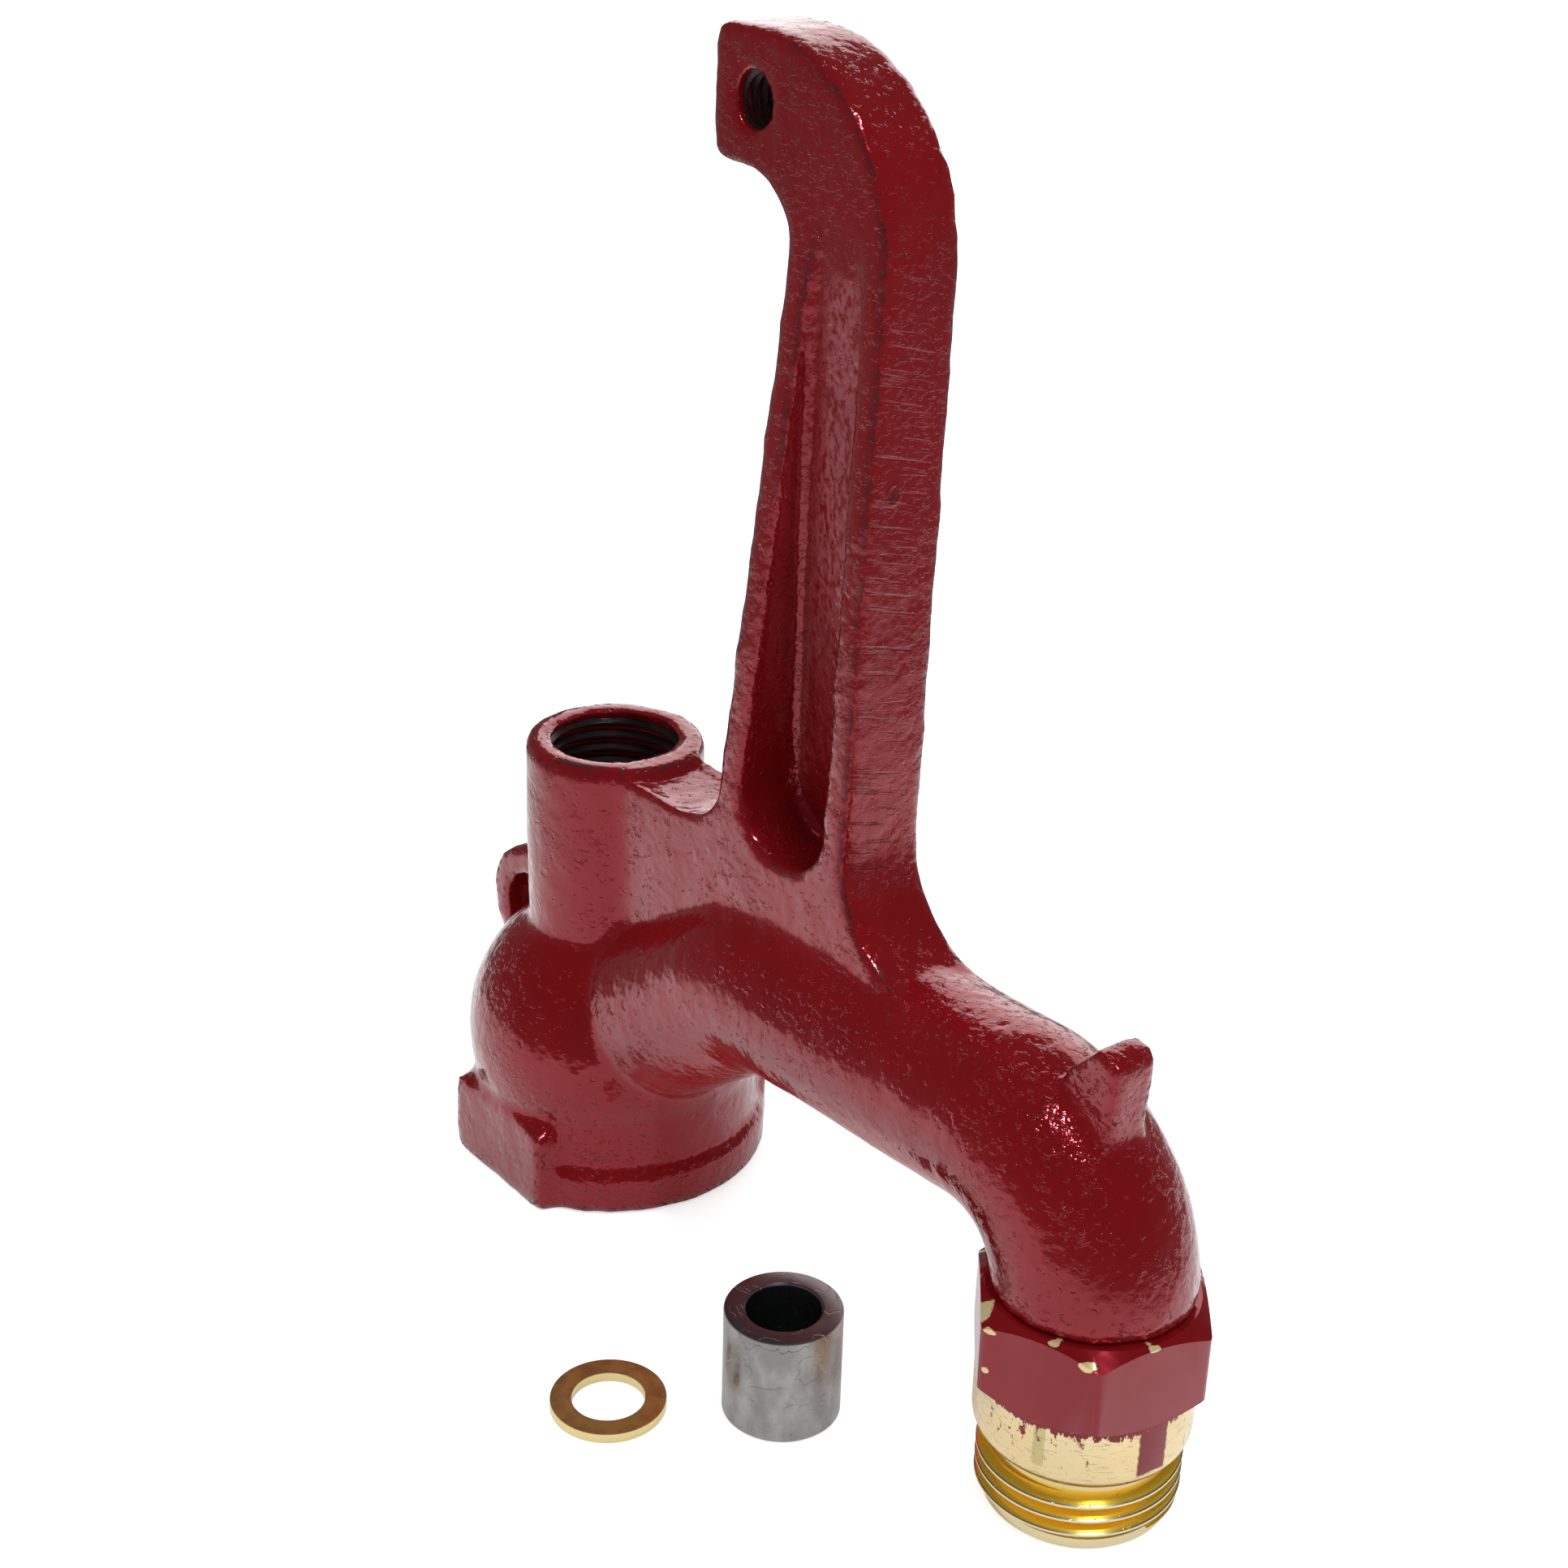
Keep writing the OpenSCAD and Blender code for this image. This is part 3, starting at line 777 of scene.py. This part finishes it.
corner = rise(-bulge_of(casting), 0.01, 0.04)
corner = corner * in_box(places, x=(38, 60), y=(-6.3, 6.3), z=(72, 160))
x, y, z = places.T / MM
places -= normals * (corner * CORNER_DEPTH)[:, None]
dip = rise(np.hypot(x, y), BOSS_R, 1.2) * np.clip(1 - (y / 8) ** 4, 0, 1) * (x > 0)
at_mouth = np.clip(1 - np.abs(z - box_mouth.z / MM) / 6, 0, 1)
dip = dip * fall(x, 33, 9) * at_mouth * (z > 60)
places[:, 2] -= dip * DIP_DEPTH
move_to(casting, places)
print("hollow in the gusset's top:", int((dip > 0.1).sum()), "vertices")

# %% [markdown]
# ## Where the paint is worn or coarse, and where shade and reflections are painted
# Real paint follows the form: it is thin where the iron is proud, and it
# pools where the iron is hollow. So each share is measured from the mesh, by
# how far a vertex stands out of its neighbours, by the way it faces and by
# where it lies. It is written on the vertices, and the finish reads it. That
# follows the form by itself, and nothing has to be unwrapped.

# %% Measure the edges, the arm's rim and the blowhole's painted shade
bulge = bulge_of(casting)
x, y, z = places.T / MM
on_arm = in_box(places, x=(30, FAR), z=(64, FAR))
edge = rise(bulge, 0.05, 0.09) * ~on_arm
# Painted shade: the blowhole's pit is given more than a full edge share, so the finish paints it
# thin, dark red.
blowhole_shade = np.hypot(y - BLOWHOLE[1], z - BLOWHOLE[2]) < 0.9
edge[(x > 60) & blowhole_shade] = 1.2
keep_number(casting, "edge", edge)
print("edge share over 0.5:", round(float((edge > 0.5).mean()), 3))

rim = on_arm * rise(np.maximum(normals[:, 0], normals[:, 2]), 0.1, 0.3)
rim = rim * (x > 46)
keep_number(casting, "rim", rim)

# %% Measure the ground back of the arm and the coarse skin
back = (normals[:, 0] > 0.97) & in_box(places, x=(55, 70))
ground = back * fall(y, 2.8, 2.5) * rise(z, 58, 8) * fall(z, 158, 25)
keep_number(casting, "ground", ground)

arm_side = (normals[:, 1] < -0.8) & in_box(places, x=(33, FAR), z=(72, FAR))
boss_strip = (np.hypot(x - 14.5, (z - 62) / 5) < 1.6) & (y < -5)
coarse = (
    (0.85, arm_side),
    (0.5, z > 150),
    (0.85, back * rise(y, 1.5, 2)),
    (1.6, in_box(places, x=(40, FAR), y=(-5.5, 5.5), z=(70, 150))),     # the pocket
    (1.0, boss_strip),
    (0.9, in_box(places, x=(102, 111), y=(-5, 5), z=(57, FAR))),        # the elbow's tab
)
sandy = np.max([share * where for share, where in coarse], axis=0)
keep_number(casting, "sandy", blurred(sandy, ends, 4))
print("ground:", int((ground > 0.5).sum()), "vertices, coarse:", int((sandy > 0.5).sum()))

# %% Measure where the paint lies smooth, and where reflections are painted
# Painted reflection: the undersides of the spout and elbow are given a deeper, brighter red,
# standing for the red head mirrored in them, and less gloss.
under = fall(normals[:, 2], -0.25, 0.35) * rise(np.hypot(x, y), 15, 3)
under = under * in_box(places, x=(8, FAR), z=(12, 62))
keep_number(casting, "under", blurred(under, ends, 4))

in_pocket = in_box(places, x=(38, 60), y=(-6, 6), z=(74, 165))
pool = rise(-bulge, 0.012, 0.05)
pool = (spread(pool, ends, 2) + neighbour_mean(pool, ends)) / 2
keep_number(casting, "pool", pool * ~in_pocket)

# Painted reflection: the floor of the pocket is given a lighter pink, starting a little right of
# its left wall and growing upwards.
pocket_reflection = in_pocket & (normals[:, 1] < -0.75) & (z > 90)
level = (z / 1.5).astype(int)
left = np.full(level.max() + 1, 99.0)
np.minimum.at(left, level[pocket_reflection], x[pocket_reflection])
pocket_reflection = pocket_reflection * rise(x - left[level], 1.6, 2) * rise(z, 90, 25)
keep_number(casting, "pocket_reflection", blurred(pocket_reflection, ends, 2))
print("thick:", int((under > 0.5).sum()), "dusty:", int((pocket_reflection > 0.5).sum()), "vertices")

# %% Put the casting in the scene
head = finished(casting, "head_skin", head_red, sharp=80)
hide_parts("head_casting")

# %% [markdown]
# ## Threads in the stuffing box and the lever pivot
# Both are cut straight into the casting, are wet with cutting oil and look
# nearly black. Each is a ridge swept round as it climbs, set into the wall
# of its hole. The remeshed casting is too coarse to hold a thread, and a
# bump would leave the edge of the hole perfectly round.

# %% Mix the oiled iron
OILED_BLACK = (0.012, 0.010, 0.010, 1)
OILED_RED = (0.045, 0.012, 0.012, 1)

oiled_iron, tree, shader, place = start_finish("oiled_iron")
stain = speckle(tree, place, 260, 4.0)
tone = blend_colour(tree, ramp(tree, stain, 0.4, 0.7), OILED_BLACK, OILED_RED)
bump = add(tree, "Bump", {"Height": stain, "Strength": 0.6, "Distance": 0.0001})
fill(tree, shader, {"Base Color": tone, "Metallic": 0.3, "Roughness": 0.32, "Normal": bump})
print("made", oiled_iron.name)

# %% Cut the threads
box_ridge = thread_ridge(box_r + box_depth, box_r, box_pitch, box_span, "stuffing_box_thread")
box_ridge.transform(Matrix.Translation((0, 0, box_mouth.z - box_length)))
finished(box_ridge, "stuffing_box_thread", oiled_iron)

pivot_ridge = thread_ridge(pivot_r + pivot_depth, pivot_r, pivot_pitch,
                           pivot_length - THREAD_LIP, "pivot_thread", steps=48)
pivot_ridge.transform(Matrix.Rotation(math.radians(90), 4, "X"))
pivot_ridge.transform(Matrix.Translation(
    (pivot_mouth.x, ARM_FACE_Y + pivot_length, pivot_mouth.z)))
finished(pivot_ridge, "pivot_thread", oiled_iron)

# %% [markdown]
# ## The brass of the hose nozzle
# The nozzle is turned from hexagon bar. Its collar and its thread stay bare
# brass, while the hexagon was painted with the head and has chipped since.
# All its finishes grow from one brass: a metal with faint rings from the
# lathe and a mask for scratches. The collar adds splashes of red, mapped by
# the angle round the nozzle, so that runs and scratches follow its curve.

# %% Mix the brass
BRASS = (0.80, 0.56, 0.25, 1)
BRASS_PALE = (0.86, 0.70, 0.45, 1)
BRASS_DARK = (0.42, 0.24, 0.09, 1)
THREAD_YELLOW = (0.84, 0.50, 0.04, 1)
THREAD_PALE = (0.84, 0.70, 0.45, 1)
BAND_OLIVE = (0.56, 0.45, 0.20, 1)
RED_SPLASH = (0.22, 0.006, 0.012, 1)
LATHE = (0.05, 0.05, 2.5)       # stretches the speckle round the tool's path
flat_r = 14.3 * MM              # the collar's radius, and half across the hexagon


def brass(name, scratches, rings=0.02):
    """Bare brass; scratches(tree, place) is a mask, and rings the height of
    the tool marks in mm."""
    material, tree, shader, place = start_finish(name)
    cloud = speckle(tree, place, 150, 3.0)
    tone = blend_colour(tree, ramp(tree, cloud, 0.2, 0.8, 0.35, 0.75), BRASS, BRASS_PALE)
    mark = scratches(tree, place)
    tone = blend_colour(tree, times(tree, mark, 0.3), tone, BRASS_DARK)
    lathe = times(tree, speckle(tree, place, 900, 2.0, 0.5, LATHE), rings)
    height = minus(tree, lathe, times(tree, mark, 0.02))
    fill(tree, shader, {"Base Color": tone, "Metallic": 1.0,
                        "Roughness": ramp(tree, mark, 0, 1, 0.2, 0.4),
                        "Normal": add(tree, "Bump", {"Height": height, "Distance": MM})})
    return material, tree, shader, place


def fine_scratches(tree, place):
    return ramp(tree, speckle(tree, place, 1100, 3.0, 0.6, (1.0, 1.0, 0.3)), 0.62, 0.72)


def round_nozzle(tree, place):
    """A place as (distance round the nozzle, 0, height), in metres."""
    local = add(tree, "VectorMath", {0: place, 1: (nozzle_x, 0, 0)}, operation="SUBTRACT")
    east, north, height = parts_of(tree, local)
    angle = maths(tree, "ARCTAN2", north, east)
    return add(tree, "CombineXYZ", {0: times(tree, angle, flat_r), 2: height})


def collar_scratches(tree, place):
    flat = round_nozzle(tree, place)
    slant = add(tree, "Mapping", {"Vector": flat, "Rotation": (0, math.radians(24), 0),
                                  "Scale": (0.12, 1, 1)})
    return ramp(tree, speckle(tree, slant, 3400, 3.0, 0.7), 0.55, 0.70)


def red_on_collar(tree, place):
    """Where red paint ran down or splashed on the collar."""
    flat = round_nozzle(tree, place)
    torn = speckle(tree, flat, 900, 4.0, 0.7, (1, 1, 0.45))
    height = add(tree, "SeparateXYZ", {0: flat}, out=2)
    under_hex = ramp(tree, plus(tree, height, times(tree, torn, 5.0 * MM)),
                     21.7 * MM, 21.9 * MM)
    run = blob(tree, flat, (-2.0, 0, 16.3), (2.2, 9, 3.6), 0.15, square=True)
    splash = times(tree, blob(tree, flat, (-19, 0, 18.6), (7, 9, 1.6), 0.5),
                   ramp(tree, torn, 0.54, 0.57))
    flecks = times(tree, ramp(tree, speckle(tree, flat, 160), 0.5, 0.62),
                   ramp(tree, torn, 0.60, 0.62))
    return most(tree, [under_hex, run, splash, flecks])


# %% Finish the thread, pale where it is worn
thread_brass, tree, shader, place = brass("turned_brass", fine_scratches, 0.01)
out_r, height = from_axis(tree, place, nozzle_x, 0)
crest = ramp(tree, out_r, thread_r - 0.28 * MM, thread_r - 0.12 * MM)
lip = ramp(tree, height, 1.8 * MM, 1.95 * MM, 1.0, 0.0)
neck = ramp(tree, height, 9.2 * MM, 9.6 * MM, 0.0, 0.6)
worn = most(tree, [crest, lip, neck])
fill(tree, shader, {"Base Color": blend_colour(tree, worn, THREAD_YELLOW, THREAD_PALE),
                    "Metallic": ramp(tree, worn, 0, 1, 0.58, 0.95), "Roughness": 0.42,
                    "Specular IOR Level": 0.2})
print("made", thread_brass.name)

# %% Finish the collar, splashed with red
collar_brass, tree, shader, place = brass("collar_brass", collar_scratches, 0.01)
splashed = red_on_collar(tree, place)
bare_tone = shader.inputs["Base Color"].links[0].from_socket
band = blob(tree, round_nozzle(tree, place), (-17.0, 0, 17), (0.8, 9, 3.3), 0.1, square=True)
bare_tone = blend_colour(tree, times(tree, band, 0.8), bare_tone, BAND_OLIVE)
fill(tree, shader, {"Base Color": blend_colour(tree, splashed, bare_tone, RED_SPLASH),
                    "Metallic": minus(tree, 1.0, splashed), "Specular IOR Level": 0.25,
                    "Coat Weight": times(tree, splashed, 0.3), "Coat Roughness": 0.06})
print("made", collar_brass.name)

# %% Finish the hexagon, red with chips
HEX_CHIPS = (           # centre and half sizes, in mm
    ((101.0, -14.3, 31.4), (1.3, 2.0, 1.1)),
    ((103.7, -15.4, 30.6), (0.9, 2.0, 0.45)),
    ((103.5, -15.8, 24.6), (0.5, 2.0, 0.5)),
    ((116.3, -11.2, 30.9), (1.0, 2.0, 0.6)),
    ((119.4, -3.2, 32.0), (1.6, 0.8, 0.35)),
    ((111.6, -12.9, 32.2), (0.7, 2.0, 0.2)),
)


def hex_chips(tree, place):
    return most(tree, [blob(tree, place, centre, size) for centre, size in HEX_CHIPS])


def hex_skin(tree, place):
    return times(tree, speckle(tree, place, 260, 2.0), 0.05)


hex_red = red_paint("red_paint_on_brass", hex_skin, hex_chips)
print("made", hex_red.name)

# %% [markdown]
# ## Turning and milling the nozzle
# The nozzle is made as in a lathe: outlines are spun about its axis for the
# body and the collar, and the thread is a ridge swept on top. The hexagon is
# a six-sided cone of even width, cut by a turned blank with bevelled ends,
# which leaves the curved chamfers that a real hexagon has on its corners.

# %% Turn the body of the nozzle
LIP_H = 1.85 * MM
THREAD_H = 7.15 * MM
RELIEF_H = 1.7 * MM
COLLAR_H = 9.3 * MM
HEX_H = 12.3 * MM
THREAD_PITCH = 2.209 * MM
HEX_TURN = math.radians(18.7 - 30)      # the angle at which the nozzle came tight
thread_top = LIP_H + THREAD_H
collar_z = thread_top + RELIEF_H
hex_z = collar_z + COLLAR_H
hex_top = hex_z + HEX_H
core_r = 12.2 * MM
lip_r = 12.4 * MM
bore_soft = 0.5 * MM

body = turned([
    (waterway_r, bore_soft), (waterway_r + bore_soft, 0), (lip_r - bore_soft, 0),
    (lip_r, bore_soft), (lip_r, LIP_H), (core_r, LIP_H + 0.2 * MM),
    (core_r, collar_z - 0.3 * MM), (core_r + 0.3 * MM, collar_z), (waterway_r, collar_z)],
    "nozzle_body")
body.transform(Matrix.Translation((nozzle_x, 0, 0)))
finished(body, "nozzle_body", thread_brass, sharp=25)

collar = turned([
    (waterway_r, collar_z), (core_r + 0.3 * MM, collar_z), (flat_r - 1.2 * MM, collar_z + 0.1 * MM),
    (flat_r - 0.85 * MM, collar_z + 0.45 * MM), (flat_r - 0.35 * MM, collar_z + 1.2 * MM),
    (flat_r - 0.1 * MM, collar_z + 1.8 * MM), (flat_r, collar_z + 2.5 * MM),
    (flat_r, hex_z + MM), (waterway_r, hex_z + MM)], "nozzle_collar")
collar.transform(Matrix.Translation((nozzle_x, 0, 0)))
finished(collar, "nozzle_collar", collar_brass, sharp=40)

ridge = thread_ridge(core_r, thread_r, THREAD_PITCH, THREAD_H, "nozzle_thread",
                     phase=0.78, bevel=0.3)
ridge.transform(Matrix.Translation((nozzle_x, 0, LIP_H)))
finished(ridge, "nozzle_thread", thread_brass, sharp=25)

# %% Mill the hexagon
corner_r = flat_r / math.cos(math.radians(30))
bm = bmesh.new()
bmesh.ops.create_cone(bm, cap_ends=True, segments=6, radius1=corner_r, radius2=corner_r,
                      depth=HEX_H)
bmesh.ops.rotate(bm, matrix=Matrix.Rotation(HEX_TURN, 3, "Z"), verts=bm.verts, cent=(0, 0, 0))
bmesh.ops.translate(bm, vec=(0, 0, hex_z + HEX_H / 2), verts=bm.verts)
upright = [e for e in bm.edges if abs(e.verts[0].co.z - e.verts[1].co.z) > HEX_H / 2]
bmesh.ops.bevel(bm, geom=upright, offset=0.6 * MM, offset_type="OFFSET", segments=4,
                affect="EDGES", profile=0.5, material=-1)
hexagon = mesh_of(bm, "hexagon")
blank = put_in_scene("bevel_blank", turned([
    (waterway_r, hex_z), (flat_r, hex_z), (corner_r + 0.1 * MM, hex_z + 1.6 * MM),
    (corner_r + 0.1 * MM, hex_top - 1.8 * MM), (flat_r - 0.6 * MM, hex_top),
    (waterway_r, hex_top)], "bevel_blank"))


def bevel_hexagon(worker):
    boolean(worker, "INTERSECT", blank)
    edges = worker.modifiers.new("edges", "BEVEL")
    edges.width = 0.45 * MM
    edges.segments = 4
    edges.limit_method = "ANGLE"
    edges.angle_limit = math.radians(28)


hexagon = bake_modifiers(hexagon, bevel_hexagon)
bpy.data.objects.remove(blank)
hexagon.transform(Matrix.Translation((nozzle_x, 0, 0)))
nozzle_hex = finished(hexagon, "nozzle_hexagon", hex_red, sharp=30)
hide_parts("hose_nozzle")

# %% [markdown]
# ## Packing sleeve and washer
# The packing seals the rod, and the washer lies under it. The packing is
# pressed graphite: grey and silvery on its side, darker on top, and painted
# black in its bore as shade. The washer is stamped from brass sheet, bright at
# its sheared rim, and brown on its face with tarnish and a reddish painted
# reflection of the red head. Both are spun from a small outline, as turned
# parts are, and their masks come from the distance to the axis and the height.

# %% Mix the graphite
GRAPHITE = (0.27, 0.24, 0.235, 1)
GRAPHITE_PALE = (0.43, 0.395, 0.38, 1)
GRAPHITE_SMUDGE = (0.09, 0.075, 0.07, 1)
GRAPHITE_TOP = (0.16, 0.12, 0.125, 1)
BORE_SHADE = (0.008, 0.008, 0.008, 1)

graphite, tree, shader, place = start_finish("pressed_graphite")
sleeve_middle = middle(sleeve_low, sleeve_high)
_, sleeve_bore = mount("packing_bore")
out_r, height = from_axis(tree, place, sleeve_middle.x, sleeve_middle.y)
in_bore = ramp(tree, out_r, sleeve_bore + 0.05 * MM, sleeve_bore + 0.2 * MM, 1.0, 0.0)
on_top = ramp(tree, height, sleeve_high.z - 0.35 * MM, sleeve_high.z - 0.15 * MM)
streak = speckle(tree, place, 240, 4.0, 0.6, (1.0, 1.0, 0.5))
smudge = blob(tree, place, (63.3, -26.3, 11.6), (0.9, 1.6, 2.4), 0.5, 300)
tone = blend_colour(tree, ramp(tree, streak, 0.35, 0.7), GRAPHITE, GRAPHITE_PALE)
tone = blend_colour(tree, times(tree, smudge, 0.75), tone, GRAPHITE_SMUDGE)
tone = blend_colour(tree, on_top, tone, GRAPHITE_TOP)
# Painted shade: the bore is near black.
tone = blend_colour(tree, in_bore, tone, BORE_SHADE)
nicks = times(tree, creases(tree, speckle(tree, place, 180, 3.0), 0.012), -0.03)
height = plus(tree, times(tree, streak, 0.03), nicks)
fill(tree, shader, {"Base Color": tone, "Metallic": minus(tree, 0.85, in_bore, clamp=True),
                    "Roughness": ramp(tree, streak, 0.3, 0.7, 0.22, 0.36),
                    "Normal": add(tree, "Bump", {"Height": height, "Distance": MM})})
print("made", graphite.name)

# %% Mix the washer brass, tarnished and with a painted reflection on its face
WASHER_SIDE = (0.88, 0.68, 0.34, 1)
TARNISH_AND_REFLECTION = (0.34, 0.15, 0.045, 1)
TARNISH_AND_REFLECTION_DARK = (0.26, 0.10, 0.032, 1)

washer_finish, tree, shader, place = brass("washer_brass", fine_scratches)
height = add(tree, "SeparateXYZ", {0: place}, out=2)
# The washer's face is brown: tarnish, with a reddish painted reflection of the red head.
face_tarnish_and_reflection = ramp(tree, height, washer_high.z - 0.2 * MM, washer_high.z - 0.08 * MM)
cloud = ramp(tree, speckle(tree, place, 420, 4.0), 0.35, 0.65)
brown = blend_colour(tree, cloud, TARNISH_AND_REFLECTION, TARNISH_AND_REFLECTION_DARK)
fill(tree, shader, {"Base Color": blend_colour(tree, face_tarnish_and_reflection, WASHER_SIDE, brown),
                    "Metallic": ramp(tree, face_tarnish_and_reflection, 0, 1, 0.95, 0.35), "Roughness": 0.42})
print("made", washer_finish.name)

# %% Turn the packing and the washer


def ring_piece(low, high, bore_r, soft, name, finish, body):
    """A ring that fills a box, with its edges softened."""
    outer = (high.x - low.x) / 2
    top = high.z
    mesh = turned([
        (bore_r, soft), (bore_r + soft, 0), (outer - soft, 0), (outer, soft),
        (outer, top - soft), (outer - soft * 0.3, top - soft * 0.3), (outer - soft, top),
        (bore_r + soft, top), (bore_r, top - soft)], name)
    centre = middle(low, high)
    mesh.transform(Matrix.Translation((centre.x, centre.y, 0)))
    return finished(mesh, name, finish, body)


sleeve = ring_piece(sleeve_low, sleeve_high, sleeve_bore, 0.35 * MM,
                    "packing_sleeve", graphite, "packing_body")
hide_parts("packing")

washer = ring_piece(washer_low, washer_high, mount("washer_bore")[1], 0.12 * MM,
                    "packing_washer_ring", washer_finish, "washer_body")
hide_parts("packing_washer")
